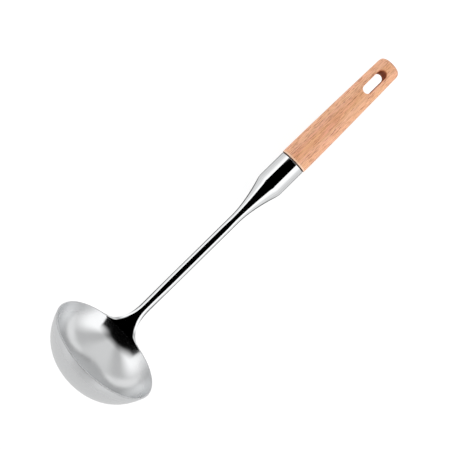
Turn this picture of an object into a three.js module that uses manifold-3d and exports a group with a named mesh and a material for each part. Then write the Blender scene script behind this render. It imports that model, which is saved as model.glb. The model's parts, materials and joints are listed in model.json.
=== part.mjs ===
// Soup ladle: a deep-drawn steel bowl, a round polished stem with a fan-shaped foot,
// a conical ferrule and a turned beech handle with a hanging slot.
// Millimetres, +Z up. The ladle lies on its back on a table: the bowl's rim and the ferrule touch it.
// Inside the ladle's own group X runs up the stem, Z faces the bowl's open side,
// and the origin is on the stem's axis, level with the bowl's rim at the foot.

import * as THREE from 'three';
import { mergeVertices } from 'three/addons/utils/BufferGeometryUtils.js';
import Module from 'manifold-3d';

// Bowl
const BOWL_RADIUS = 44.7; // outside of the rim
const BOWL_DEPTH = 30.5; // from the rim to the outside of the bottom
const BOWL_WALL = 1.2;
const BOWL_FLARE = THREE.MathUtils.degToRad(17); // how far the wall opens out at the rim
const BOWL_SIDE_PULL = 14.5; // reach of the side profile's end tangent at the rim
const BOWL_FLOOR_PULL = 31.3; // reach of the side profile's end tangent at the bottom
const STEM_LEAN = THREE.MathUtils.degToRad(13.9); // how far the stem leans back from the bowl's axis

// Stem and its foot
const STEM_RADIUS = 4;
const STEM_LENGTH = 119.9; // from the rim to the ferrule
const TAPER_LENGTH = 68; // from the rim to the full thickness of the stem
const TAPER_POWER = 1.15; // of the taper's back, where 1 is straight
const RIM_RISE = 1; // the rim's wall lies this far in front of the stem's axis
const FAN_LENGTH = 27; // from the rim to where the stem starts to fan out
const FAN_SPREAD = 9; // how far each side of the fan spreads
const FAN_POWER = 3.2; // with which the fan spreads
const FAN_TOE = 5.4; // how far each side runs out further along the rim
const FAN_TOE_POWER = 30; // with which the toes run out
const EDGE_GROWTH = 1.5; // the front's edges get rounder by this much towards the rim
const EDGE_SHARE = 0.85; // of the foot's thickness that the front's edges fall away

// Ferrule and the tang inside it
const FERRULE_RADIUS = 10.8;
const FERRULE_WALL = 0.9;
const CONE_LENGTH = 37;
const CONE_STRAIGHT = 14.8; // from the cone's thin end to where its two end tangents cross
const COLLAR_LENGTH = 25.9;
const FERRULE_EDGE = 1.2; // rounding between cone and collar, along each
const TANG_STEP = 1.1; // the stem is turned down by this much where the ferrule starts
const TANG_CHAMFER = 0.8;

// Handle
const HANDLE_LENGTH = 106.1; // from its shoulder to its butt end
const HANDLE_OVERHANG = 0.5; // the shoulder stands proud of the ferrule
const HANDLE_STRAIGHT = 26; // from the shoulder to where the handle's two end tangents cross
const HANDLE_END_RADIUS = 9.55;
const HANDLE_END_ROUND = 3.5;
const BUTT_DOME = 0.5; // height of the butt end's crown
const BUTT_FLAT_RADIUS = 4;
const SHOULDER_CHAMFER = 0.6;
const TENON_LENGTH = 18;
const TENON_CHAMFER = 1;
const SLOT_LENGTH = 22.5;
const SLOT_WIDTH = 7.4;
const SLOT_TO_BUTT = 9.25;
const WOOD_BEYOND_BORE = 18; // between the tang's bore and the slot
const BOND_THICKNESS = 0.8;

const FIT_GAP = 0.3; // between pieces that are joined

// Facets round each piece
const BOWL_FACETS = 64;
const BOWL_RINGS = 15;
const TURNED_FACETS = 48;
const BOND_FACETS = 24;
const STEM_FACETS = 40;
const FOOT_STATIONS = 28;
const STATION_POWER = 1.7; // sets the foot's sections closer towards the rim
const CURVE_STEPS = 10;
const EDGE_STEPS = 4;

// Places along the stem
const tangRadius = STEM_RADIUS - TANG_STEP;
const ferruleStart = STEM_LENGTH + FIT_GAP;
const collarStart = STEM_LENGTH + CONE_LENGTH;
const collarEnd = collarStart + COLLAR_LENGTH;
const shoulder = collarEnd + FIT_GAP;
const tenonStart = collarEnd - TENON_LENGTH;
const buttEnd = shoulder + HANDLE_LENGTH;
const slotMiddle = buttEnd - SLOT_TO_BUTT - SLOT_LENGTH / 2;
const boreEnd = slotMiddle - SLOT_LENGTH / 2 - WOOD_BEYOND_BORE;
const boreRadius = tangRadius + BOND_THICKNESS + 2 * FIT_GAP;

// The rim has a half-round lip. Its crest is the plane that the bowl's depth is measured from.
const lipRadius = BOWL_WALL / 2;
const lipCrest = lipRadius * (1 + Math.sin(BOWL_FLARE));
const rimRadius = BOWL_RADIUS - lipRadius * Math.cos(BOWL_FLARE);

const wasm = await Module();
wasm.setup();

const smooth = (share) => THREE.MathUtils.smoothstep(share, 0, 1);

// Joins equal vertices and drops the triangles that collapse on an axis.
function weld(geometry) {
  geometry.deleteAttribute('normal');
  geometry.deleteAttribute('uv');
  const welded = mergeVertices(geometry);
  const corners = welded.index.array;
  const kept = [];
  for (let i = 0; i < corners.length; i += 3) {
    const [a, b, c] = corners.slice(i, i + 3);
    if (a !== b && b !== c && c !== a) kept.push(a, b, c);
  }
  welded.setIndex(kept);
  return welded;
}

// Turns a profile of (radius, place) points round the X axis, with a facet, not an edge, facing straight down.
function revolve(profile, facets) {
  const geometry = new THREE.LatheGeometry(profile, facets, Math.PI / facets);
  return weld(geometry.rotateZ(-Math.PI / 2));
}

// Skins a row of rings with equal counts of points, and closes the first and the last ring.
// Points j and count - 1 - j of a ring lie across its thickness from each other.
function loft(rings) {
  const count = rings[0].length;
  const triangles = [];
  for (let i = 0; i + 1 < rings.length; i += 1) {
    for (let j = 0; j < count; j += 1) {
      const next = (j + 1) % count;
      const [a, b] = [i * count + j, i * count + next];
      triangles.push(a, b, b + count, a, b + count, a + count);
    }
  }
  const last = (rings.length - 1) * count;
  for (let j = 0; j + 1 < count / 2; j += 1) {
    const [a, b, c, d] = [j, j + 1, count - 2 - j, count - 1 - j];
    triangles.push(a, c, b, a, d, c);
    triangles.push(last + a, last + b, last + c, last + a, last + c, last + d);
  }
  const geometry = new THREE.BufferGeometry();
  geometry.setFromPoints(rings.flat());
  geometry.setIndex(triangles);
  return weld(geometry);
}

function toSolid(geometry) {
  const vertProperties = new Float32Array(geometry.attributes.position.array);
  const triVerts = new Uint32Array(geometry.index.array);
  return new wasm.Manifold(new wasm.Mesh({ numProp: 3, vertProperties, triVerts }));
}

function fromSolid(solid) {
  const mesh = solid.getMesh();
  const geometry = new THREE.BufferGeometry();
  geometry.setAttribute('position', new THREE.BufferAttribute(mesh.vertProperties, 3));
  geometry.setIndex(new THREE.BufferAttribute(mesh.triVerts, 1));
  return geometry;
}

function piece(name, geometry, color, roughness, metalness) {
  const material = new THREE.MeshStandardMaterial({ color, roughness, metalness });
  const mesh = new THREE.Mesh(geometry, material);
  mesh.name = name;
  return mesh;
}

// The bowl is one shell of even thickness. Its side profile leaves the bottom level and opens out to the rim.
function makeBowl() {
  const bottom = new THREE.Vector2(0, lipCrest - BOWL_DEPTH);
  const rim = new THREE.Vector2(BOWL_RADIUS, 0);
  const slope = new THREE.Vector2(Math.sin(BOWL_FLARE), Math.cos(BOWL_FLARE));
  const side = new THREE.CubicBezierCurve(
    bottom,
    new THREE.Vector2(BOWL_FLOOR_PULL, bottom.y),
    rim.clone().addScaledVector(slope, -BOWL_SIDE_PULL),
    rim,
  );
  const outer = side.getPoints(BOWL_RINGS);
  const inner = outer.map((point, i) => {
    const run = side.getTangent(i / BOWL_RINGS);
    const radius = i > 0 ? point.x - BOWL_WALL * run.y : 0;
    return new THREE.Vector2(radius, point.y + BOWL_WALL * run.x);
  });
  const lipMiddle = rim.clone().lerp(inner[BOWL_RINGS], 0.5);
  const lip = [];
  for (let i = 1; i < EDGE_STEPS; i += 1) {
    const angle = Math.PI * (i / EDGE_STEPS) - BOWL_FLARE;
    lip.push(new THREE.Vector2(Math.cos(angle), Math.sin(angle)).multiplyScalar(lipRadius).add(lipMiddle));
  }
  const profile = [...outer, ...lip, ...inner.reverse()];
  const lowered = profile.map((point) => new THREE.Vector2(point.x, point.y - lipCrest));
  const bowl = piece('bowl', revolve(lowered, BOWL_FACETS), 0xc4c6c8, 0.3, 1);
  bowl.rotation.y = -STEM_LEAN;
  bowl.position.x = -rimRadius * Math.sin(STEM_LEAN);
  bowl.position.z = rimRadius * Math.cos(STEM_LEAN) + RIM_RISE;
  return bowl;
}

// One section of the foot, at a place along the stem. Towards the rim the round rod gets thinner, until its
// front and its back meet the bowl's wall, then fans out, and bends to the curve of the rim. The front is
// flat in its middle, and falls away to each edge in an arc.
function footSection(place) {
  const taper = 1 - place / TAPER_LENGTH;
  const fan = Math.max(1 - place / FAN_LENGTH, 0);
  const front = THREE.MathUtils.lerp(STEM_RADIUS, RIM_RISE + lipRadius, smooth(taper));
  const back = THREE.MathUtils.lerp(-STEM_RADIUS, RIM_RISE - lipRadius, taper ** TAPER_POWER);
  const middle = (front + back) / 2;
  const halfWidth = STEM_RADIUS + FAN_SPREAD * fan ** FAN_POWER + FAN_TOE * fan ** FAN_TOE_POWER;
  const edgeRadius = STEM_RADIUS + EDGE_GROWTH * fan;
  const drop = Math.min(edgeRadius, EDGE_SHARE * (front - back));
  const edgeRun = Math.sqrt(drop * (2 * edgeRadius - drop));
  const bend = smooth(fan) / rimRadius;
  const lean = Math.atan(fan * Math.tan(STEM_LEAN));
  const ring = [];
  for (let j = 0; j < STEM_FACETS; j += 1) {
    const angle = (2 * Math.PI * (j + 0.5)) / STEM_FACETS;
    const across = halfWidth * Math.cos(angle);
    const intoEdge = Math.max(Math.abs(across) - halfWidth + edgeRun, 0);
    const onFront = front - edgeRadius + Math.sqrt(edgeRadius ** 2 - intoEdge ** 2);
    const onBack = front - drop - (front - drop - back) * Math.sqrt(1 - (intoEdge / edgeRun) ** 2);
    const lift = (Math.sin(angle) > 0 ? onFront : onBack) - middle;
    const turn = across * bend;
    const side = bend > 0 ? (1 / bend - lift) * Math.sin(turn) : across;
    const rise = bend > 0 ? 1 / bend - (1 / bend - lift) * Math.cos(turn) : lift;
    ring.push(new THREE.Vector3(place - rise * Math.sin(lean), side, middle + rise * Math.cos(lean)));
  }
  return ring;
}

// A round section of the rod, with its points in the same order as the foot's.
function rodSection(place, radius) {
  const ring = [];
  for (let j = 0; j < STEM_FACETS; j += 1) {
    const angle = (2 * Math.PI * (j + 0.5)) / STEM_FACETS;
    ring.push(new THREE.Vector3(place, radius * Math.cos(angle), radius * Math.sin(angle)));
  }
  return ring;
}

// The stem is one forged rod: the foot that is welded to the rim, the round stem, and the thinner tang.
function makeStem() {
  const rings = [];
  for (let i = 0; i <= FOOT_STATIONS; i += 1) {
    rings.push(footSection(THREE.MathUtils.lerp(FIT_GAP, TAPER_LENGTH, (i / FOOT_STATIONS) ** STATION_POWER)));
  }
  const tangEnd = boreEnd - FIT_GAP;
  rings.push(rodSection(STEM_LENGTH, STEM_RADIUS));
  rings.push(rodSection(STEM_LENGTH, tangRadius));
  rings.push(rodSection(tangEnd - TANG_CHAMFER, tangRadius));
  rings.push(rodSection(tangEnd, tangRadius - TANG_CHAMFER));
  return piece('stem', loft(rings), 0xd2d4d6, 0.08, 1);
}

// The ferrule is a thin shell: a cone that leaves the stem flush with it, and a collar over the handle's tenon.
function makeFerrule() {
  const boreAtStem = tangRadius + FIT_GAP;
  const coneCurve = new THREE.QuadraticBezierCurve(
    new THREE.Vector2(STEM_RADIUS, ferruleStart),
    new THREE.Vector2(STEM_RADIUS, ferruleStart + CONE_STRAIGHT),
    new THREE.Vector2(FERRULE_RADIUS, collarStart),
  );
  const cone = coneCurve.getPoints(CURVE_STEPS).slice(0, -1);
  const edgeEntry = coneCurve.getTangent(1).multiplyScalar(-FERRULE_EDGE);
  const edge = new THREE.QuadraticBezierCurve(
    new THREE.Vector2(FERRULE_RADIUS, collarStart).add(edgeEntry),
    new THREE.Vector2(FERRULE_RADIUS, collarStart),
    new THREE.Vector2(FERRULE_RADIUS, collarStart + FERRULE_EDGE),
  );
  const outer = [...cone, ...edge.getPoints(EDGE_STEPS), new THREE.Vector2(FERRULE_RADIUS, collarEnd)];
  const inner = outer.map((point) => new THREE.Vector2(Math.max(point.x - FERRULE_WALL, boreAtStem), point.y));
  const profile = [...outer, ...inner.reverse(), outer[0]];
  return piece('ferrule', revolve(profile, TURNED_FACETS), 0xd2d4d6, 0.08, 1);
}

// Cured epoxy round the tang, in the handle's bore.
function makeBond() {
  const innerRadius = tangRadius + FIT_GAP;
  const outerRadius = innerRadius + BOND_THICKNESS;
  const start = tenonStart + FIT_GAP;
  const end = boreEnd - FIT_GAP;
  const profile = [
    new THREE.Vector2(innerRadius, start),
    new THREE.Vector2(outerRadius, start),
    new THREE.Vector2(outerRadius, end),
    new THREE.Vector2(innerRadius, end),
    new THREE.Vector2(innerRadius, start),
  ];
  return piece('epoxy_bond', revolve(profile, BOND_FACETS), 0xd9c58c, 0.4, 0);
}

// Cutter for the hanging slot, right through the handle from front to back.
function slotCutter(reach) {
  const endRadius = SLOT_WIDTH / 2;
  const halfStraight = SLOT_LENGTH / 2 - endRadius;
  const outline = new THREE.Shape();
  outline.absarc(slotMiddle + halfStraight, 0, endRadius, -Math.PI / 2, Math.PI / 2);
  outline.absarc(slotMiddle - halfStraight, 0, endRadius, Math.PI / 2, (3 * Math.PI) / 2);
  const settings = { depth: 2 * reach, bevelEnabled: false, curveSegments: CURVE_STEPS };
  return weld(new THREE.ExtrudeGeometry(outline, settings).translate(0, 0, -reach));
}

// The handle is turned from one piece of beech: a tenon for the ferrule, a shoulder, a tapered grip,
// a crowned butt end, a blind bore for the tang, and the slot.
function makeHandle() {
  const tenonRadius = FERRULE_RADIUS - FERRULE_WALL - FIT_GAP;
  const shoulderRadius = FERRULE_RADIUS + HANDLE_OVERHANG;
  const crownStart = buttEnd - BUTT_DOME;
  const profile = new THREE.Path();
  profile.moveTo(0, boreEnd);
  profile.lineTo(boreRadius, boreEnd);
  profile.lineTo(boreRadius, tenonStart);
  profile.lineTo(tenonRadius - TENON_CHAMFER, tenonStart);
  profile.lineTo(tenonRadius, tenonStart + TENON_CHAMFER);
  profile.lineTo(tenonRadius, shoulder);
  profile.lineTo(shoulderRadius - SHOULDER_CHAMFER, shoulder);
  profile.lineTo(shoulderRadius, shoulder + SHOULDER_CHAMFER);
  profile.quadraticCurveTo(
    shoulderRadius, shoulder + HANDLE_STRAIGHT,
    HANDLE_END_RADIUS, crownStart - HANDLE_END_ROUND,
  );
  profile.quadraticCurveTo(
    HANDLE_END_RADIUS, crownStart,
    HANDLE_END_RADIUS - HANDLE_END_ROUND, crownStart,
  );
  profile.lineTo(BUTT_FLAT_RADIUS, buttEnd);
  profile.lineTo(0, buttEnd);
  const blank = revolve(profile.getPoints(CURVE_STEPS), TURNED_FACETS);
  const slotted = toSolid(blank).subtract(toSolid(slotCutter(2 * shoulderRadius)));
  return piece('handle', fromSolid(slotted), 0xd79f7a, 0.55, 0);
}

// The two places where the ladle touches the table, seen from the side: the ends of the edge, on the
// lower outline of all its pieces, that spans the middle of the stem.
function tableContacts(ladle) {
  const points = [];
  ladle.updateMatrixWorld(true);
  ladle.traverse((mesh) => {
    if (!mesh.isMesh) return;
    const positions = mesh.geometry.attributes.position;
    for (let i = 0; i < positions.count; i += 1) {
      points.push(new THREE.Vector3().fromBufferAttribute(positions, i).applyMatrix4(mesh.matrixWorld));
    }
  });
  points.sort((a, b) => a.x - b.x);
  const hull = [];
  for (const point of points) {
    while (hull.length > 1) {
      const [from, over] = hull.slice(-2);
      const turn = (over.x - from.x) * (point.z - from.z) - (over.z - from.z) * (point.x - from.x);
      if (turn > 0) break;
      hull.pop();
    }
    hull.push(point);
  }
  const onFerrule = hull.findIndex((point) => point.x > STEM_LENGTH / 2);
  return [hull[onFerrule - 1], hull[onFerrule]];
}

const ladle = new THREE.Group();
ladle.add(makeBowl(), makeStem(), makeFerrule(), makeBond(), makeHandle());

// Laid on the table, centred on the origin.
const [underBowl, underFerrule] = tableContacts(ladle);
ladle.rotation.y = -Math.atan2(underBowl.z - underFerrule.z, underFerrule.x - underBowl.x);
const extent = new THREE.Box3().setFromObject(ladle, true);
const middle = extent.getCenter(new THREE.Vector3());
ladle.position.set(-middle.x, -middle.y, -extent.min.z);

const lyingLadle = new THREE.Group();
lyingLadle.add(ladle);

export default lyingLadle;
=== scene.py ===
"""Looks of a soup ladle: satin steel bowl, polished stem and ferrule, turned beech handle.

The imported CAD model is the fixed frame. Four of its nodes are replaced here by finer surfaces, and the
fifth, the hidden sleeve of glue, keeps its CAD mesh and gets a material. Lengths are in metres. The
ladle's own axes are x up the stem from the rim, y to the side and z to the open front.
"""

import json
import logging
import math
from collections.abc import Sequence
from dataclasses import dataclass
from enum import Enum
from typing import Any

import bpy
import numpy as np
from bpy.types import Material, Node, NodeSocket, NodeTree, Object, World
from mathutils import Matrix
from numpy.typing import NDArray


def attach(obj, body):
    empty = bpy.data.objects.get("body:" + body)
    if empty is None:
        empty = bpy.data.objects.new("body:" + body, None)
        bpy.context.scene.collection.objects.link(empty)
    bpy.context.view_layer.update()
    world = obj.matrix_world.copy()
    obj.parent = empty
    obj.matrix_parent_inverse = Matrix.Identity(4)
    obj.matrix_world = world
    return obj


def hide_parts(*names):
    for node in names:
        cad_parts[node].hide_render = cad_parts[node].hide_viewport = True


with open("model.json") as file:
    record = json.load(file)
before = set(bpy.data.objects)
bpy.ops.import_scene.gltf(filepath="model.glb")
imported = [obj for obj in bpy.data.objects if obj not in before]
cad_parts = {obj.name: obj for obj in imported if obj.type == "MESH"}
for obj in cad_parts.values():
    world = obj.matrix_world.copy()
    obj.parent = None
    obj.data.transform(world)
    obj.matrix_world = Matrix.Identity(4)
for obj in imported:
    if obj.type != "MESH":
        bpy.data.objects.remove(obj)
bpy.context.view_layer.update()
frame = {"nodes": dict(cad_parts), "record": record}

Array = NDArray[np.float64]
Index = NDArray[np.int64]
Pair = tuple[float, float]
Triple = tuple[float, float, float]
Inputs = dict[str, Any] | Sequence[Any]

MM = 0.001
DEGREE = math.pi / 180
# Gap between the stem and the ferrule, which are brazed on the real ladle.
BRAZED_GAP = 0.3 * MM
# Gap between the ferrule and the handle's shoulder, which shows as a dark line of shade; the wood in
# it is painted dark as shade too.
SHOULDER_GAP = 0.75 * MM
# Span that holds most values of a noise texture.
NOISE_SPAN: Pair = (0.3, 0.7)
SIDEWAYS = np.array([0.0, 1.0, 0.0])
WHITE = (1.0, 1.0, 1.0, 1.0)
BLACK = (0.0, 0.0, 0.0, 1.0)
NO_TRIANGLES = np.empty((0, 3), np.int64)
log = logging.getLogger("ladle")


def linear(hex_colour: str) -> tuple[float, float, float, float]:
    """Turns an sRGB hex colour to linear RGBA, by the sRGB standard's curve.

    Args:
        hex_colour: the colour as "#RRGGBB".

    Returns:
        Linear red, green and blue, with alpha 1.
    """
    srgb = np.array([int(hex_colour[i : i + 2], 16) for i in (1, 3, 5)]) / 255
    light = np.where(srgb <= 0.04045, srgb / 12.92, ((srgb + 0.055) / 1.055) ** 2.4)
    return (*light.tolist(), 1.0)


def smoothstep(share: Array) -> Array:
    """Eases a share from 0 to 1 with level ends: 3s² - 2s³."""
    held = np.clip(share, 0, 1)
    return held * held * (3 - 2 * held)


def bezier(points: Sequence[Pair] | Array, steps: int) -> Array:
    """Samples a Bezier curve of n + 1 points: the sum over k of C(n, k)·(1-t)^(n-k)·t^k·point k.

    Args:
        points: the curve's ends, with its control points between them.
        steps: number of samples, from t = 0 to t = 1.

    Returns:
        Array of points, one row each.
    """
    control = np.array(points)
    n = len(control) - 1
    k = np.arange(n + 1)
    ways = np.array([math.comb(n, i) for i in range(n + 1)])
    t = np.linspace(0, 1, steps)[:, None]
    return (ways * (1 - t) ** (n - k) * t**k) @ control


def add_node(tree: NodeTree, kind: str, inputs: Inputs = (), **settings: Any) -> Node:
    """Adds a node with its settings, and links or fills its inputs.

    Args:
        tree: node tree that gets the node.
        kind: Blender's name of the node type, without ShaderNode in front.
        inputs: for each input, by name or in the order that the node shows them, the value to set, or
            the socket to link from, or a node whose first output is linked.
        **settings: properties of the node.

    Returns:
        The new node.
    """
    node = tree.nodes.new("ShaderNode" + kind)
    for name, value in settings.items():
        setattr(node, name, value)
    if isinstance(inputs, dict):
        filled = [(node.inputs[name], value) for name, value in inputs.items()]
    else:
        filled = list(zip([socket for socket in node.inputs if socket.enabled], inputs))
    for socket, value in filled:
        if isinstance(value, Node):
            value = next(output for output in value.outputs if output.enabled)
        if isinstance(value, NodeSocket):
            tree.links.new(value, socket)
        else:
            socket.default_value = value
    return node


def full_turn(columns: int) -> Array:
    """Angles of evenly spaced columns round a full turn, in radians."""
    return np.linspace(0, 2 * math.pi, columns, endpoint=False)


def revolve(section: Array, columns: int) -> Array:
    """Carries a section round the stem's axis: (x, r) becomes (x, r·cos a, r·sin a).

    Args:
        section: rows of (x, r).
        columns: number of angles a.

    Returns:
        Grid of points, one ring a row.
    """
    turn = full_turn(columns)
    along, out = section[:, :1], section[:, 1:]
    return np.stack([np.repeat(along, columns, 1), out * np.cos(turn), out * np.sin(turn)], -1)


def number_grid(grid: Array) -> Index:
    """Vertex numbers of a grid of points, in the order in which the points lie."""
    return np.arange(grid.shape[0] * grid.shape[1]).reshape(grid.shape[:2])


def strip_quads(index: Index) -> Index:
    """Joins rows of vertex numbers into quads, each row being a closed ring.

    Args:
        index: vertex numbers, one ring a row.

    Returns:
        Quads between each ring and the next.
    """
    here, there = index[:-1], index[1:]
    return np.stack([here, np.roll(here, -1, 1), np.roll(there, -1, 1), there], -1).reshape(-1, 4)


def fan(ring: Index, pole: int) -> Index:
    """Closes a ring with triangles to one pole vertex."""
    return np.stack([ring, np.roll(ring, -1), np.full_like(ring, pole)], -1)


def flat_cap(ring: Index) -> tuple[Index, Index]:
    """Closes a long ring by joining its near side to its far side.

    Args:
        ring: vertex numbers, an even count, starting at one end of the section.

    Returns:
        Quads across the section, and a triangle at each end.
    """
    half = len(ring) // 2
    j = np.arange(1, half - 1)
    quads = np.stack([ring[j], ring[j + 1], ring[-j - 1], ring[-j]], -1)
    return quads, np.stack([ring[[0, 1, -1]], ring[half - 1 : half + 2]])


@dataclass(frozen=True)
class LadlePose:
    """How the ladle lies in the row frame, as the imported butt_end mount says."""

    butt: Array
    along: Array
    reach: float

    @property
    def front(self) -> Array:
        """Unit vector of the ladle's own z, square to the stem and upwards."""
        return np.array([-self.along[2], 0, self.along[0]])

    @property
    def tilt(self) -> float:
        """Angle in radians by which the stem rises towards the handle."""
        return math.atan2(self.along[2], self.along[0])

    @property
    def root_x(self) -> float:
        """Place along the row frame's x where the stem's axis meets the bowl's rim."""
        return float(self.butt[0] - self.reach * self.along[0])

    @classmethod
    def from_record(cls, record: dict[str, Any], reach: float) -> "LadlePose":
        """Reads the butt end's place and the stem's direction.

        Args:
            record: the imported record.
            reach: distance from the rim to the butt end along the stem.

        Returns:
            The pose.
        """
        mount = next(m for m in record["mounts"] if m["name"] == "butt_end")
        return cls(np.array(mount["pos_m"]), np.array(mount["axis"]), reach)

    def place(self, own: Array) -> Array:
        """Moves points to the row frame: butt + (x - reach)·along + y·sideways + z·front.

        Args:
            own: points in the ladle's own axes.

        Returns:
            The same points in the row frame.
        """
        x, y, z = own[:, :1], own[:, 1:2], own[:, 2:]
        return self.butt + (x - self.reach) * self.along + y * SIDEWAYS + z * self.front

    def own_coordinates(self, tree: NodeTree) -> Node:
        """Adds nodes that turn Object coordinates into the ladle's own axes, as place does backwards.

        Args:
            tree: node tree of a material.

        Returns:
            Node that gives x up the stem from the rim, y to the side and z to the front.
        """
        turn = np.stack([self.along, SIDEWAYS, self.front])
        shift = np.array([self.reach, 0.0, 0.0]) - turn @ self.butt
        coordinates = add_node(tree, "TexCoord")
        return add_node(tree, "Mapping", [coordinates.outputs["Object"], shift.tolist(), (0, self.tilt, 0)])


def make_piece(
    name: str, points: Array, quads: Index, triangles: Index, material: Material, sharp: float = 40 * DEGREE
) -> Object:
    """Makes a smooth mesh object whose faces point outwards.

    The volume is the sum over triangles of a · (b × c) / 6. Where it is negative, all faces are turned.

    Args:
        name: object's name.
        points: vertices in the row frame.
        quads: vertex numbers of the faces with four corners, all wound the same way.
        triangles: vertex numbers of the faces with three corners, wound like the quads.
        material: finish of the whole piece.
        sharp: edges that turn more than this angle in radians stay sharp.

    Returns:
        The object, at the origin.
    """
    halves = np.concatenate([quads[:, [0, 1, 2]], quads[:, [0, 2, 3]], triangles])
    a, b, c = np.moveaxis(points[halves], 1, 0)
    volume = np.sum(a * np.cross(b, c)) / 6
    if volume < 0:
        quads, triangles = quads[:, ::-1], triangles[:, ::-1]
    mesh = bpy.data.meshes.new(name)
    mesh.from_pydata(points.tolist(), [], quads.tolist() + triangles.tolist())
    mesh.polygons.foreach_set("use_smooth", np.ones(len(mesh.polygons), bool))
    mesh.set_sharp_from_angle(angle=sharp)
    mesh.materials.append(material)
    piece = bpy.data.objects.new(name, mesh)
    bpy.context.scene.collection.objects.link(piece)
    return piece


def add_attribute(piece: Object, name: str, values: Array) -> None:
    """Stores one number on each vertex of a piece.

    Args:
        piece: object that gets the attribute.
        name: attribute's name, which a material reads.
        values: one number for each vertex.
    """
    attribute = piece.data.attributes.new(name, "FLOAT", "POINT")
    attribute.data.foreach_set("value", values.astype(np.float32))


def new_material(name: str) -> tuple[Material, NodeTree]:
    """Makes a material without nodes.

    Args:
        name: material's name.

    Returns:
        The material and its empty node tree.
    """
    material = bpy.data.materials.new(name)
    material.use_nodes = True
    material.node_tree.nodes.clear()
    return material, material.node_tree


@dataclass(frozen=True)
class SatinSteel:
    """Deep-drawn stainless steel, spun against a fine brush.

    The eye gets a soft, blurred mirror: greys that flow, with faint rings about the bowl's axis.
    """

    colour: str = "#DFE0E1"
    roughness: float = 0.22
    buffed_roughness: float = 0.1
    rim_roughness: float = 0.36
    lip_roughness: float = 0.8
    roughness_swing: float = 0.01
    # Real brush marks lie closer than a tenth of a millimetre. These are drawn coarser, so that they show.
    ring_spacing: float = 0.5 * MM
    ring_drift: float = 167.0 * MM
    ring_height: float = 0.002 * MM
    ring_relief: float = 0.15

    def material(self) -> Material:
        """Builds the material from rings along the wall's depth, which change slowly along themselves.

        Returns:
            The material, which reads the attributes wall_depth and grit.
        """
        material, tree = new_material("satin_stainless_steel")
        place = add_node(tree, "TexCoord")
        pace = (1 / self.ring_drift,) * 3
        drift = add_node(tree, "VectorMath", [place.outputs["Object"], pace], operation="MULTIPLY")
        depth = add_node(tree, "Attribute", attribute_name="wall_depth")
        rings = add_node(tree, "Math", [depth.outputs["Fac"], 1 / self.ring_spacing], operation="MULTIPLY")
        marks = {"Vector": drift, "W": rings, "Scale": 1.0, "Detail": 3.0}
        streak = add_node(tree, "TexNoise", marks, noise_dimensions="4D")
        swing = add_node(tree, "MapRange", [streak, *NOISE_SPAN, -self.roughness_swing, self.roughness_swing])
        grit = add_node(tree, "Attribute", attribute_name="grit")
        rough = add_node(tree, "Math", [grit.outputs["Fac"], swing], operation="ADD")
        relief = {"Strength": self.ring_relief, "Distance": self.ring_height, "Height": streak}
        bump = add_node(tree, "Bump", relief)
        steel = {"Base Color": linear(self.colour), "Metallic": 1.0, "Roughness": rough, "Normal": bump}
        shader = add_node(tree, "BsdfPrincipled", steel)
        add_node(tree, "OutputMaterial", {"Surface": shader})
        return material


@dataclass(frozen=True)
class PolishedSteel:
    """Stainless steel buffed to a mirror along its length.

    The eye gets hard-edged reflections: a black core, white bands and grey outlines.
    """

    colour: str = "#E3E4E5"
    roughness: float = 0.022
    roughness_swing: float = 0.012
    # Real buffing lines are too fine to tell apart. These are drawn coarser, so that they show.
    line_spacing: float = 0.35 * MM
    line_length: float = 25.0 * MM

    def material(self, pose: LadlePose) -> Material:
        """Builds the material from faint buffing lines along the stem.

        Args:
            pose: how the ladle lies, which turns the lines along the stem.

        Returns:
            The material.
        """
        material, tree = new_material("mirror_polished_stainless_steel")
        pace = (1 / self.line_length, 1 / self.line_spacing, 1 / self.line_spacing)
        stretched = add_node(tree, "VectorMath", [pose.own_coordinates(tree), pace], operation="MULTIPLY")
        lines = add_node(tree, "TexNoise", {"Vector": stretched, "Scale": 1.0, "Detail": 2.0})
        least, most = self.roughness - self.roughness_swing, self.roughness + self.roughness_swing
        rough = add_node(tree, "MapRange", [lines, *NOISE_SPAN, least, most])
        steel = {"Base Color": linear(self.colour), "Metallic": 1.0, "Roughness": rough}
        shader = add_node(tree, "BsdfPrincipled", steel)
        add_node(tree, "OutputMaterial", {"Surface": shader})
        return material


class Cut(Enum):
    """How the wood's surface was made, as the attribute cut gives it; the joint is marked for painted shade.
    """

    TURNED = 0.0
    SLOTTED = 1.0
    SHADED_JOINT = 2.0


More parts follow.
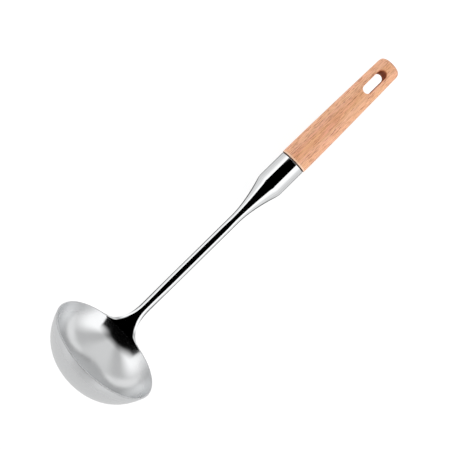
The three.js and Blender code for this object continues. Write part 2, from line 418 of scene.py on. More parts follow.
@dataclass(frozen=True)
class OiledBeech:
    """Steamed beech, turned, smoothed with abrasive and lightly oiled.

    The eye gets a pale pinkish wood with a fine straight grain and short dark ray flecks.
    """

    pale: str = "#F4BC8C"
    rosy: str = "#F3AE90"
    dark: str = "#DA9A68"
    fleck: str = "#9E4A0E"
    # Painted highlight on the shoulder's rounding, where it catches light.
    chamfer_highlight: str = "#F6CDAE"
    # Painted shade on the slot's wall: the same wood, darker and redder.
    slot_shade: str = "#C67742"
    # Painted shade in the joint between the ferrule and the shoulder.
    joint_shade: str = "#4A2A1C"
    # Length along the grain, width and depth of each mark. Real pores are about a tenth of a millimetre
    # wide, so the grain and the flecks are drawn coarser, to show.
    band_size: Triple = (40.0 * MM, 2.2 * MM, 2.2 * MM)
    grain_size: Triple = (14.0 * MM, 0.45 * MM, 0.45 * MM)
    fleck_size: Triple = (7.0 * MM, 0.34 * MM, 0.9 * MM)
    # Spans of the noise over which each mark comes up.
    band_span: Pair = (0.35, 0.65)
    grain_span: Pair = (0.35, 0.7)
    fleck_span: Pair = (0.585, 0.64)
    fleck_strength: float = 0.9
    mark_contrast: float = 0.6
    pore_depth: float = 0.05 * MM
    pore_relief: float = 0.12
    # Roughness of the smoothest and the roughest grain, and what the slot's wall adds.
    roughness: Pair = (0.34, 0.48)
    slot_roughness: float = 0.4
    ior: float = 1.5
    specular: float = 0.8
    sheen: float = 0.12

    def marks(self, tree: NodeTree, own: Node, size: Triple, detail: float) -> Node:
        """Adds noise stretched along the grain.

        Args:
            tree: node tree of the material.
            own: node that gives the ladle's own axes.
            size: length, width and depth of a mark.
            detail: how many finer layers the noise has.

        Returns:
            The noise.
        """
        pace = tuple(1 / length for length in size)
        stretched = add_node(tree, "VectorMath", [own, pace], operation="MULTIPLY")
        noise = {"Vector": stretched, "Scale": 1.0, "Detail": detail, "Roughness": self.mark_contrast}
        return add_node(tree, "TexNoise", noise)

    def material(self, pose: LadlePose) -> Material:
        """Builds the wood as a solid pattern along the handle, in layers of colour.

        Args:
            pose: how the ladle lies, which turns the grain along the handle.

        Returns:
            The material, which reads three attributes: the butt's end grain, partly painted shade; the
            shoulder's painted highlight; and the cut, which also holds painted shade.
        """
        material, tree = new_material("oiled_beech")
        own = pose.own_coordinates(tree)
        bands = self.marks(tree, own, self.band_size, 2.0)
        grain = self.marks(tree, own, self.grain_size, 1.0)
        rays = self.marks(tree, own, self.fleck_size, 1.0)
        blush = add_node(tree, "MapRange", [bands, *self.band_span])
        streak = add_node(tree, "MapRange", [grain, *self.grain_span])
        fleck = add_node(tree, "MapRange", [rays, *self.fleck_span, 0.0, self.fleck_strength])
        # Partly real end grain, partly painted shade where the butt's surface turns away.
        end_grain_and_shade = add_node(tree, "Attribute", attribute_name="end_grain_and_shade").outputs["Fac"]
        # Mask of the painted highlight on the shoulder's rounding.
        lit_chamfer = add_node(tree, "Attribute", attribute_name="lit_chamfer").outputs["Fac"]
        # cut marks the slot's wall and the joint: it adds roughness there, and painted shade.
        cut = add_node(tree, "Attribute", attribute_name="cut").outputs["Fac"]
        # Mask of painted shade in the joint at the shoulder.
        in_joint = add_node(tree, "Math", [cut, Cut.SLOTTED.value], operation="SUBTRACT")
        colour = linear(self.pale)
        layers = [
            (blush, self.rosy),
            (streak, self.dark),
            (fleck, self.fleck),
            (end_grain_and_shade, self.fleck),
            (lit_chamfer, self.chamfer_highlight),
            (cut, self.slot_shade),
            (in_joint, self.joint_shade),
        ]
        for share, tint in layers:
            colour = add_node(tree, "Mix", [share, colour, linear(tint)], data_type="RGBA")
        smooth = add_node(tree, "MapRange", [grain, *NOISE_SPAN, *self.roughness])
        rough = add_node(tree, "Math", [cut, self.slot_roughness, smooth], operation="MULTIPLY_ADD")
        hollow = add_node(tree, "Math", [grain, fleck], operation="ADD")
        relief = {"Strength": self.pore_relief, "Distance": self.pore_depth, "Height": hollow}
        wood = {
            "Base Color": colour,
            "Roughness": rough,
            "IOR": self.ior,
            "Specular IOR Level": self.specular,
            "Sheen Weight": self.sheen,
            "Normal": add_node(tree, "Bump", relief, invert=True),
        }
        shader = add_node(tree, "BsdfPrincipled", wood)
        add_node(tree, "OutputMaterial", {"Surface": shader})
        return material


@dataclass(frozen=True)
class CuredEpoxy:
    """Two-part epoxy, cured in the handle's bore. The eye would get a glossy amber resin."""

    colour: str = "#D9C48C"
    deep: str = "#B99A58"
    cloud: float = 3.0 * MM
    roughness: float = 0.15
    ior: float = 1.55

    def material(self) -> Material:
        """Builds the material with a faint cloud in its colour.

        Returns:
            The material.
        """
        material, tree = new_material("cured_epoxy")
        place = add_node(tree, "TexCoord")
        noise = add_node(tree, "TexNoise", {"Vector": place.outputs["Object"], "Scale": 1 / self.cloud})
        tint = add_node(tree, "Mix", [noise, linear(self.colour), linear(self.deep)], data_type="RGBA")
        resin = {"Base Color": tint, "Roughness": self.roughness, "IOR": self.ior}
        shader = add_node(tree, "BsdfPrincipled", resin)
        add_node(tree, "OutputMaterial", {"Surface": shader})
        return material


@dataclass
class SteelBowl:
    """The deep-drawn bowl with its flared side and its rounded rim."""

    radius: float = 44.7 * MM
    depth: float = 30.5 * MM
    wall: float = 1.2 * MM
    flare: float = 17 * DEGREE
    side_pull: float = 14.5 * MM
    floor_pull: float = 31.3 * MM
    lean: float = 13.9 * DEGREE
    # Buffed patch round the weld, and the duller band under the rim.
    buff_reach: float = 15.0 * MM
    buff_fade: float = 18.0 * MM
    rim_fade: float = 11.0 * MM
    columns: int = 288
    wall_steps: int = 80
    lip_steps: int = 12

    @property
    def lip(self) -> float:
        """Radius of the half-round lip."""
        return self.wall / 2

    @property
    def rim_radius(self) -> float:
        """Radius of the rim's crest."""
        return self.radius - self.lip * math.cos(self.flare)

    @property
    def axis(self) -> Array:
        """Unit vector out of the bowl's mouth, in the ladle's own axes."""
        return np.array([math.cos(self.lean), 0, math.sin(self.lean)])

    @property
    def to_root(self) -> Array:
        """Unit vector from the bowl's axis to the stem's root, in the ladle's own axes."""
        return np.array([math.sin(self.lean), 0, -math.cos(self.lean)])

    def profile(self) -> Array:
        """Works out the closed section, from the outer pole over the lip to the inner pole.

        The outer wall is a cubic Bezier curve that leaves the pole level and reaches the rim with the
        flare's slope. The inner wall is that curve moved in, square to itself, by the wall's thickness,
        and the lip is half a circle between them whose crest is the rim plane.

        Returns:
            Rows of (r, h).
        """
        crest = self.lip * (1 + math.sin(self.flare))
        slope = np.array([math.sin(self.flare), math.cos(self.flare)])
        pole, brim = np.array([0, crest - self.depth]), np.array([self.radius, 0])
        control = np.array([pole, pole + [self.floor_pull, 0], brim - self.side_pull * slope, brim])
        outer = bezier(control, self.wall_steps)
        # A Bezier curve's direction is the Bezier curve of its control points' differences.
        run = bezier(np.diff(control, axis=0), self.wall_steps)
        outward = np.stack([run[:, 1], -run[:, 0]], -1) / np.linalg.norm(run, axis=1)[:, None]
        inner = outer - self.wall * outward
        middle = (outer[-1] + inner[-1]) / 2
        turn = np.linspace(0, math.pi, self.lip_steps + 2)[1:-1, None]
        lip = middle + self.lip * (np.cos(turn) * outward[-1] + np.sin(turn) * slope)
        return np.concatenate([outer, lip, inner[::-1]]) - [0, crest]

    def grit(self, from_weld: Array, depth: Array, finish: SatinSteel) -> Array:
        """Works out the walls' roughness: buffed round the weld, dull under the rim, satin below.

        Args:
            from_weld: each vertex's distance from the weld.
            depth: each vertex's depth below the rim.
            finish: steel of the bowl.

        Returns:
            One roughness for each vertex.
        """
        below_rim = smoothstep(depth / self.rim_fade)
        brushed = finish.rim_roughness + (finish.roughness - finish.rim_roughness) * below_rim
        off_weld = smoothstep((from_weld - self.buff_reach) / self.buff_fade)
        return finish.buffed_roughness + (brushed - finish.buffed_roughness) * off_weld

    def build(self, pose: LadlePose, rise: float, finish: SatinSteel) -> Object:
        """Carries the section round the bowl's axis and dresses it.

        A row (r, h) at the angle a becomes centre + h·axis + r·(cos a · to_root + sin a · sideways).

        Args:
            pose: how the ladle lies.
            rise: how far the rim lies in front of the stem's axis at its root.
            finish: steel of the bowl.

        Returns:
            The bowl's shell.
        """
        section = self.profile()
        ring, poles = section[1:-1], section[[0, -1]] * [0, 1]
        weld = np.array([0, 0, rise])
        centre = weld - self.rim_radius * self.to_root
        turn = full_turn(self.columns)[:, None]
        spoke = np.cos(turn) * self.to_root + np.sin(turn) * SIDEWAYS
        shell = centre + ring[:, None, 1:] * self.axis + ring[:, None, :1] * spoke
        own = np.concatenate([shell.reshape(-1, 3), centre + poles[:, 1:] * self.axis])
        index = number_grid(shell)
        bottoms = np.concatenate([fan(index[0][::-1], index.size), fan(index[-1], index.size + 1)])
        piece = make_piece("bowl_shell", pose.place(own), strip_quads(index), bottoms, finish.material())
        depth = np.concatenate([np.repeat(-ring[:, 1], self.columns), -poles[:, 1]])
        grit = self.grit(np.linalg.norm(own - weld, axis=1), depth, finish)
        # The first row of the section is a pole, so the lip's rows start one row earlier in the rings.
        lip_start = self.wall_steps - 1
        grit[index[lip_start : lip_start + self.lip_steps]] = finish.lip_roughness
        add_attribute(piece, "wall_depth", depth)
        add_attribute(piece, "grit", grit)
        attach(piece, "root")
        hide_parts("bowl")
        return piece


@dataclass
class ForgedStem:
    """The rod: a fan-shaped foot on the bowl's rim, the round stem, and the tang in the handle."""

    radius: float = 4.0 * MM
    length: float = 119.9 * MM
    taper: float = 68.0 * MM
    taper_power: float = 1.15
    rim_rise: float = 1.0 * MM
    fan_length: float = 27.0 * MM
    fan_spread: float = 9.0 * MM
    fan_power: float = 3.2
    toe: float = 5.4 * MM
    toe_power: float = 30.0
    edge_growth: float = 1.5 * MM
    edge_share: float = 0.85
    # Past the fan the front is a hair squarer than a circle, up to a short way before the ferrule.
    front_power: float = 2.25
    round_end: float = 10.0 * MM
    # The rod runs a little into the ferrule, thinner by a hair, so that the brazed joint shows no line:
    # each pair is how far past the rod's end, and how much thinner.
    neck: tuple[Pair, ...] = ((0.4 * MM, 0.02 * MM), (0.6 * MM, 0.05 * MM))
    tang_start: float = 0.7 * MM
    tang_length: float = 119.2 * MM
    tang_radius: float = 2.9 * MM
    # Lap over the bowl's lip, how far the foot stands proud of the bowl's walls, and the least share of
    # the rim's curve, which keeps the bend's radius finite where the foot is straight.
    lap: float = 0.9 * MM
    skin: float = 0.02 * MM
    least_curl: float = 0.001
    columns: int = 128
    lap_steps: int = 3
    foot_steps: int = 130
    foot_crowding: float = 1.8
    rod_steps: int = 30

    def squareness(self, x: Array) -> Array:
        """Exponent of the front's arc at places along the stem: 2, a circle, at the fan and the ferrule."""
        past_fan, to_end = x / self.fan_length - 1, (self.length - x) / self.round_end
        return 2 + (self.front_power - 2) * smoothstep(past_fan) * smoothstep(to_end)

    def foot(self, bowl: SteelBowl) -> Array:
        """Works out the foot as a section carried along the stem, from the rim up.

        At a place x the front eases from the bowl's inner wall to the stem's front line, and the back
        runs from the bowl's outer wall to the stem's back line. The half width is r + spread·f^p + toe·f^q,
        where the fan's share f is 1 at the rim and 0 where the fan starts. The front is flat in the
        middle and falls away to each edge in an arc v^n + w^n = edge^n, with n from squareness, and
        the back is a flat with elliptic edges. Across, the section bends to the rim's curve. A short
        lap below the rim, along the bowl's flared wall, covers the bowl's lip.

        Args:
            bowl: bowl that the foot is welded to.

        Returns:
            Grid of points: one section a row, from the lap up.
        """
        lap = np.linspace(self.lap, 0, self.lap_steps, endpoint=False)
        rows = self.taper * np.linspace(0, 1, self.foot_steps) ** self.foot_crowding
        below = np.concatenate([lap, np.zeros(len(rows))])[:, None]
        x = np.concatenate([np.zeros(len(lap)), rows])[:, None]
        share, fan_share = 1 - x / self.taper, np.clip(1 - x / self.fan_length, 0, 1)
        half_wall = bowl.wall / 2 + self.skin
        front = self.radius + (self.rim_rise + half_wall - self.radius) * smoothstep(share)
        back = -self.radius + (self.rim_rise - half_wall + self.radius) * share**self.taper_power
        spread = self.fan_spread * fan_share**self.fan_power + self.toe * fan_share**self.toe_power
        half_width = self.radius + spread
        edge = self.radius + self.edge_growth * fan_share
        drop = np.minimum(edge, self.edge_share * (front - back))
        power = self.squareness(x)
        run = (edge**power - (edge - drop) ** power) ** (1 / power)
        turn = full_turn(self.columns)[None, :]
        across = half_width * np.cos(turn)
        into = np.clip(np.abs(across) - half_width + run, 0, run)
        upper = front - edge + np.maximum(edge**power - into**power, 0) ** (1 / power)
        lower = front - drop - (front - drop - back) * np.sqrt(1 - (into / run) ** 2)
        middle = (front + back) / 2
        lift = np.where(np.sin(turn) > 0, upper, lower) - middle
        curl = np.maximum(smoothstep(fan_share), self.least_curl)
        bend_radius = (bowl.rim_radius - below * math.sin(bowl.flare)) / curl
        side = (bend_radius - lift) * np.sin(across / bend_radius)
        rise = bend_radius - (bend_radius - lift) * np.cos(across / bend_radius)
        lean = np.arctan(fan_share * math.tan(bowl.lean))
        wall_slope = bowl.flare - bowl.lean
        place_x = x - below * math.cos(wall_slope) - rise * np.sin(lean)
        place_z = middle + below * math.sin(wall_slope) + rise * np.cos(lean)
        return np.stack([place_x, side, place_z], -1)

    def rod(self) -> Array:
        """Works out the round rod and the tang, whose front arc is |y|^n + z^n = r^n.

        Returns:
            Grid of points: one ring a row, from the foot's end to the tang's.
        """
        straight = np.linspace(self.taper, self.length, self.rod_steps)[1:]
        past, thinner = np.array(self.neck).T
        tang = self.length + np.array([self.tang_start, self.tang_length])
        places = np.concatenate([straight, self.length + past, tang])
        radii = np.full(len(places), self.radius)
        radii[len(straight) :] -= [*thinner, *[self.radius - self.tang_radius] * len(tang)]
        rings = revolve(np.stack([places, radii], -1), self.columns)
        turn = full_turn(self.columns)
        power = self.squareness(places)[:, None]
        arc = (1 - np.abs(np.cos(turn)) ** power) ** (1 / power)
        rings[..., 2] = radii[:, None] * np.where(np.sin(turn) > 0, arc, np.sin(turn))
        return rings

    def build(self, pose: LadlePose, bowl: SteelBowl, steel: Material) -> Object:
        """Joins the foot, the round rod and the tang into one closed skin.

        Args:
            pose: how the ladle lies.
            bowl: bowl that the foot is welded to.
            steel: polished steel.

        Returns:
            The stem.
        """
        grid = np.concatenate([self.foot(bowl), self.rod()])
        index = number_grid(grid)
        sole, sole_ends = flat_cap(index[0][::-1])
        tip, tip_ends = flat_cap(index[-1])
        quads = np.concatenate([strip_quads(index), sole, tip])
        triangles = np.concatenate([sole_ends, tip_ends])
        piece = make_piece("forged_stem", pose.place(grid.reshape(-1, 3)), quads, triangles, steel)
        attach(piece, "root")
        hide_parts("stem")
        return piece


@dataclass
class Ferrule:
    """The thin steel cone and collar between the stem and the handle."""

    start: float
    root_radius: float
    radius: float = 10.8 * MM
    wall: float = 0.9 * MM
    straight: float = 14.8 * MM
    cone_length: float = 36.7 * MM
    collar_length: float = 25.45 * MM
    edge: float = 1.8 * MM
    lip: float = 0.3 * MM
    bore: float = 3.2 * MM
    sharp: float = 30 * DEGREE
    columns: int = 160
    cone_steps: int = 64
    corner_steps: int = 10
    mouth_steps: int = 6
    # Rings along the collar, close together at its ends, keep the mirror's normals straight.
    collar_shares: tuple[float, ...] = (0.01, 0.1, 0.25, 0.5, 0.75, 0.9, 0.97, 0.99, 0.997)

    @property
    def collar_start(self) -> float:
        """Place where the cone's line meets the collar's."""
        return self.start + self.cone_length

    @property
    def end(self) -> float:
        """Place of the open edge."""
        return self.collar_start + self.collar_length

    def outside(self) -> Array:
        """Works out the outer line of the section.

        The cone is a quadratic Bezier curve that leaves the stem along its length and reaches the
        collar in a straight run. The corner between them and the open edge are rounded.

        Returns:
            Rows of (x, r).
        """
        root, bend = (self.start, self.root_radius), (self.start + self.straight, self.root_radius)
        meeting = (self.collar_start, self.radius)
        cone = bezier([root, bend, meeting], self.cone_steps)
        cone = cone[np.linalg.norm(cone - meeting, axis=1) > self.edge]
        eased = self.collar_start + self.edge
        corner = bezier([tuple(cone[-1]), meeting, (eased, self.radius)], self.corner_steps)[1:]
        mouth_start = self.end - self.lip
        along = eased + (mouth_start - eased) * np.array(self.collar_shares)
        collar = np.stack([along, np.full(len(along), self.radius)], -1)
        turn = np.linspace(0, math.pi / 2, self.mouth_steps)
        rounding = self.lip * np.stack([np.sin(turn), np.cos(turn) - 1], -1)
        return np.concatenate([cone, corner, collar, rounding + [mouth_start, self.radius]])

    def build(self, pose: LadlePose, steel: Material) -> Object:
        """Carries the closed section round the stem's axis.

        Args:
            pose: how the ladle lies.
            steel: polished steel.

        Returns:
            The ferrule.
        """
        outer = self.outside()
        inner = outer[: 1 - self.mouth_steps][::-1].copy()
        inner[:, 1] = np.maximum(inner[:, 1] - self.wall, self.bore)
        inner[0, 0] = self.end
        grid = revolve(np.concatenate([outer, inner]), self.columns)
        index = number_grid(grid)
        quads = strip_quads(np.concatenate([index, index[:1]]))
        points = pose.place(grid.reshape(-1, 3))
        piece = make_piece("ferrule_shell", points, quads, NO_TRIANGLES, steel, self.sharp)
        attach(piece, "root")
        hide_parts("ferrule")
        return piece


class Face(Enum):
    """Side of the handle that the hanging slot opens on."""

    FRONT = 1
    BACK = -1


@dataclass
class BeechHandle:
    """The turned handle with its tenon, its blind bore and the hanging slot."""

    shoulder: float
    length: float = 106.1 * MM
    radius: float = 11.3 * MM
    shoulder_round: float = 0.6 * MM
    straight: float = 26.0 * MM
    end_radius: float = 9.55 * MM
    end_round: float = 4.3 * MM
    dome: float = 0.5 * MM
    flat: float = 4.0 * MM
    tenon_length: float = 18.3 * MM
    tenon_radius: float = 9.6 * MM
    tenon_chamfer: float = 1.0 * MM
    bore_length: float = 56.35 * MM
    bore_radius: float = 4.3 * MM
    slot_to_butt: float = 9.25 * MM
    slot_length: float = 22.5 * MM
    slot_width: float = 7.4 * MM
    slot_round: float = 0.6 * MM
    slot_margin: float = 3.0 * MM
    # Share of the shoulder's rounding that is painted dark as shade in the joint, and slack for finding
    # the rounding's last row, up to which it gets a painted highlight.
    joint_shade_share: float = 0.2
    row_slack: float = 0.01
    # How dark the butt's end gets, partly as end grain and partly as painted shade where the surface
    # turns away, and the fall of the surface at which it starts and over which it grows.
    end_grain_and_shade: float = 0.7
    end_fall: float = 28 * DEGREE
    sharp: float = 50 * DEGREE
    columns: int = 128
    patch_columns: int = 16
    patch_rows: int = 52
    grip_steps: int = 60
    after_slot_steps: int = 4
    shoulder_steps: int = 7
    corner_steps: int = 16
    crown_steps: int = 7
    brink_steps: int = 10
    rounding_steps: int = 9
    tunnel_steps: int = 18

    @property
    def butt(self) -> float:
        """Place of the butt end."""
        return self.shoulder + self.length

    @property
    def slot_middle(self) -> float:
        """Place of the hanging slot's middle."""
        return self.butt - self.slot_to_butt - self.slot_length / 2

    @property
    def taper(self) -> tuple[Pair, Pair, Pair]:
        """Start, control and end point (x, r) of the grip's Bezier line."""
        start = (self.shoulder + self.shoulder_round, self.radius)
        end = (self.butt - self.dome - self.end_round, self.end_radius)
        return start, (self.shoulder + self.straight, self.radius), end

    def grip_radius(self, x: Array) -> Array:
        """Solves the grip's Bezier line for t at each x and gives the radius there.

        Args:
            x: places along the grip.

        Returns:
            The radius at each place.
        """
        (x0, r0), (x1, r1), (x2, r2) = self.taper
        a, b = x0 - 2 * x1 + x2, 2 * (x1 - x0)
        t = (-b + np.sqrt(b * b - 4 * a * (x0 - x))) / (2 * a)
        return (1 - t) ** 2 * r0 + 2 * t * (1 - t) * r1 + t**2 * r2

    def tenon(self) -> Array:
        """Works out the section's hidden part, from the bore's bottom round the tenon to the shoulder.

        Returns:
            Rows of (x, r).
        """
        start = self.shoulder - self.tenon_length
        return np.array(
            [
                (self.shoulder + self.bore_length, self.bore_radius),
                (start, self.bore_radius),
                (start, self.tenon_radius - self.tenon_chamfer),
                (start + self.tenon_chamfer, self.tenon_radius),
                (self.shoulder, self.tenon_radius),
            ]
        )

    def profile(self) -> tuple[Array, int]:
        """Works out the section, from the bore's bottom over tenon, grip and butt.

        The shoulder's edge is a quarter round, the grip follows its Bezier line, and Bezier curves make
        the butt's rounding and its slightly domed end.

        Returns:
            Rows of (x, r), and the row at which the slot's patch starts.
        """
        start, _, end = self.taper
        tenon = self.tenon()
        turn = np.linspace(math.pi / 2, 0, self.shoulder_steps)
        edge = start + self.shoulder_round * np.stack([-np.sin(turn), np.cos(turn) - 1], -1)
        reach = self.slot_length / 2 + self.slot_margin
        first, last = self.slot_middle - reach, self.slot_middle + reach
        before = np.linspace(start[0], first, self.grip_steps)[1:-1]
        patch = np.linspace(first, last, self.patch_rows + 1)
        after = np.linspace(last, end[0], self.after_slot_steps)[1:]
        x = np.concatenate([before, patch, after])
        grip = np.stack([x, self.grip_radius(x)], -1)
        crown, crown_radius = self.butt - self.dome, self.end_radius - self.end_round
        rounded = (crown, crown_radius)
        corner = bezier([end, (crown, self.end_radius), rounded], self.corner_steps)[1:]
        bend = (self.butt, (self.flat + crown_radius) / 2)
        cap = bezier([rounded, bend, (self.butt, self.flat)], self.crown_steps)[1:]
        section = np.concatenate([tenon, edge, grip, corner, cap])
        return section, len(tenon) + len(edge) + len(before)

    def border(self, face: Face, first_row: int) -> Index:
        """Finds the vertices round the patch that the slot takes out, in the same order on both faces.

        Args:
            face: front or back of the handle.
            first_row: row at which the patch starts.

        Returns:
            Vertex numbers, starting at the corner nearest the rim.
        """
        quarter = self.columns // 4
        left, right = quarter - self.patch_columns, quarter + self.patch_columns
        last_row = first_row + self.patch_rows
        across, along = np.arange(left, right), np.arange(first_row, last_row)
        column = [across, np.full_like(along, right), across[::-1] + 1, np.full_like(along, left)]
        row = [np.full_like(across, first_row), along, np.full_like(across, last_row), along[::-1] + 1]
        on_front = np.concatenate(column)
        here = on_front if face is Face.FRONT else self.columns - on_front
        return np.concatenate(row) * self.columns + here

    def slot(self, edge: Array) -> tuple[Array, Array]:
        """Works out the slot's rings, from the front patch's border through the handle to the back's.

        Each border point runs straight to the nearest point of the stadium outline. Near the outline
        the skin turns down in a quarter round, then goes straight through and mirrors at the back. On
        the skin, z = sqrt(r(x)² - y²).

        Args:
            edge: border points of the front patch, in the ladle's own axes.

        Returns:
            Rings of points, and for each ring how far it is inside the cut, from 0 to 1.
        """
        half = self.slot_length / 2 - self.slot_width / 2
        plan = edge[:, :2]
        spine_x = np.clip(plan[:, 0], self.slot_middle - half, self.slot_middle + half)
        spine = np.stack([spine_x, np.zeros(len(plan))], -1)
        outward = (plan - spine) / np.linalg.norm(plan - spine, axis=1)[:, None]
        outline = spine + outward * self.slot_width / 2
        brink = outline + outward * self.slot_round
        share = np.linspace(0, 1, self.brink_steps)[1:, None, None]
        flat_plan = plan + (brink - plan) * share
        turn = np.linspace(0, math.pi / 2, self.rounding_steps)[1:]
        round_plan = outline + outward * self.slot_round * (1 - np.sin(turn))[:, None, None]
        skin_plan = np.concatenate([flat_plan, round_plan])
        level = np.zeros(len(share))
        sink = np.concatenate([level, self.slot_round * (1 - np.cos(turn))])[:, None]
        height = np.sqrt(self.grip_radius(skin_plan[..., 0]) ** 2 - skin_plan[..., 1] ** 2) - sink
        front = np.concatenate([skin_plan, height[..., None]], -1)
        down = np.linspace(1, -1, self.tunnel_steps)[1:-1]
        tunnel = front[-1] * np.stack([np.ones_like(down), np.ones_like(down), down], -1)[:, None]
        back = front[::-1] * [1.0, 1.0, -1.0]
        depth = np.concatenate([level, np.sin(turn) ** 2])
        rings = np.concatenate([front, tunnel, back])
        return rings, np.concatenate([depth, np.ones(len(tunnel)), depth[::-1]])

    def mark(self, piece: Object, section: Array, depth: Array, ring_size: int) -> None:
        """Stores where the wood is cut, where it is painted light or shade, and its end grain.

        Args:
            piece: the handle, whose vertices are the turned skin, the slot's rings and the two poles.
            section: rows of (x, r) of the turned skin.
            depth: for each ring of the slot, how far it is inside the cut.
            ring_size: number of vertices in a ring of the slot.
        """
        past_shoulder = (section[:, 0] - self.shoulder) / self.shoulder_round
        # Before a share of the shoulder's rounding, the wood is painted dark as shade in the joint.
        turned = past_shoulder >= self.joint_shade_share
        cut = np.where(turned, Cut.TURNED.value, Cut.SHADED_JOINT.value)
        # The rest of the shoulder's rounding gets a painted highlight.
        lit_chamfer = turned & (past_shoulder <= 1 + self.row_slack)
        # The butt's steep rounding and end darken, partly as real end grain, partly as painted shade.
        fall = np.arctan2(-np.gradient(section[:, 1]), np.gradient(section[:, 0]))
        steep = smoothstep((fall - self.end_fall) / self.end_fall)
        end_grain_and_shade = self.end_grain_and_shade * steep * (section[:, 0] > self.slot_middle)
        clean = np.zeros(len(depth))
        marks = {
            "cut": (cut, depth, (0.0, 0.0)),
            "lit_chamfer": (lit_chamfer, clean, (0.0, 0.0)),
            "end_grain_and_shade": (end_grain_and_shade, clean, (0.0, self.end_grain_and_shade)),
        }
        for name, (on_skin, in_slot, at_poles) in marks.items():
            values = [np.repeat(on_skin, self.columns), np.repeat(in_slot, ring_size), at_poles]
            add_attribute(piece, name, np.concatenate(values))

    def build(self, pose: LadlePose, finish: OiledBeech) -> Object:
        """Joins the turned skin and the slot into one closed mesh.

        Args:
            pose: how the ladle lies.
            finish: wood of the handle.

        Returns:
            The handle.
        """
        section, first_row = self.profile()
        grid = revolve(section, self.columns)
        skin, index = grid.reshape(-1, 3), number_grid(grid)
        keep = np.ones((len(section) - 1, self.columns), bool)
        quarter, reach = self.columns // 4, self.patch_columns
        for middle in (quarter, 3 * quarter):
            keep[first_row : first_row + self.patch_rows, middle - reach : middle + reach] = False
        front, back = self.border(Face.FRONT, first_row), self.border(Face.BACK, first_row)
        rings, depth = self.slot(skin[front])
        ring_index = len(skin) + number_grid(rings)
        slot_quads = strip_quads(np.concatenate([front[None], ring_index, back[None]]))
        quads = np.concatenate([strip_quads(index)[keep.ravel()], slot_quads])
        poles = np.array([(self.shoulder + self.bore_length, 0, 0), (self.butt, 0, 0)])
        own = np.concatenate([skin, rings.reshape(-1, 3), poles])
        pole = len(own) - len(poles)
        triangles = np.concatenate([fan(index[0][::-1], pole), fan(index[-1], pole + 1)])
        wood = finish.material(pose)
        piece = make_piece("beech_handle", pose.place(own), quads, triangles, wood, self.sharp)
        self.mark(piece, section, depth, rings.shape[1])
        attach(piece, "root")
        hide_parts("handle")
        return piece


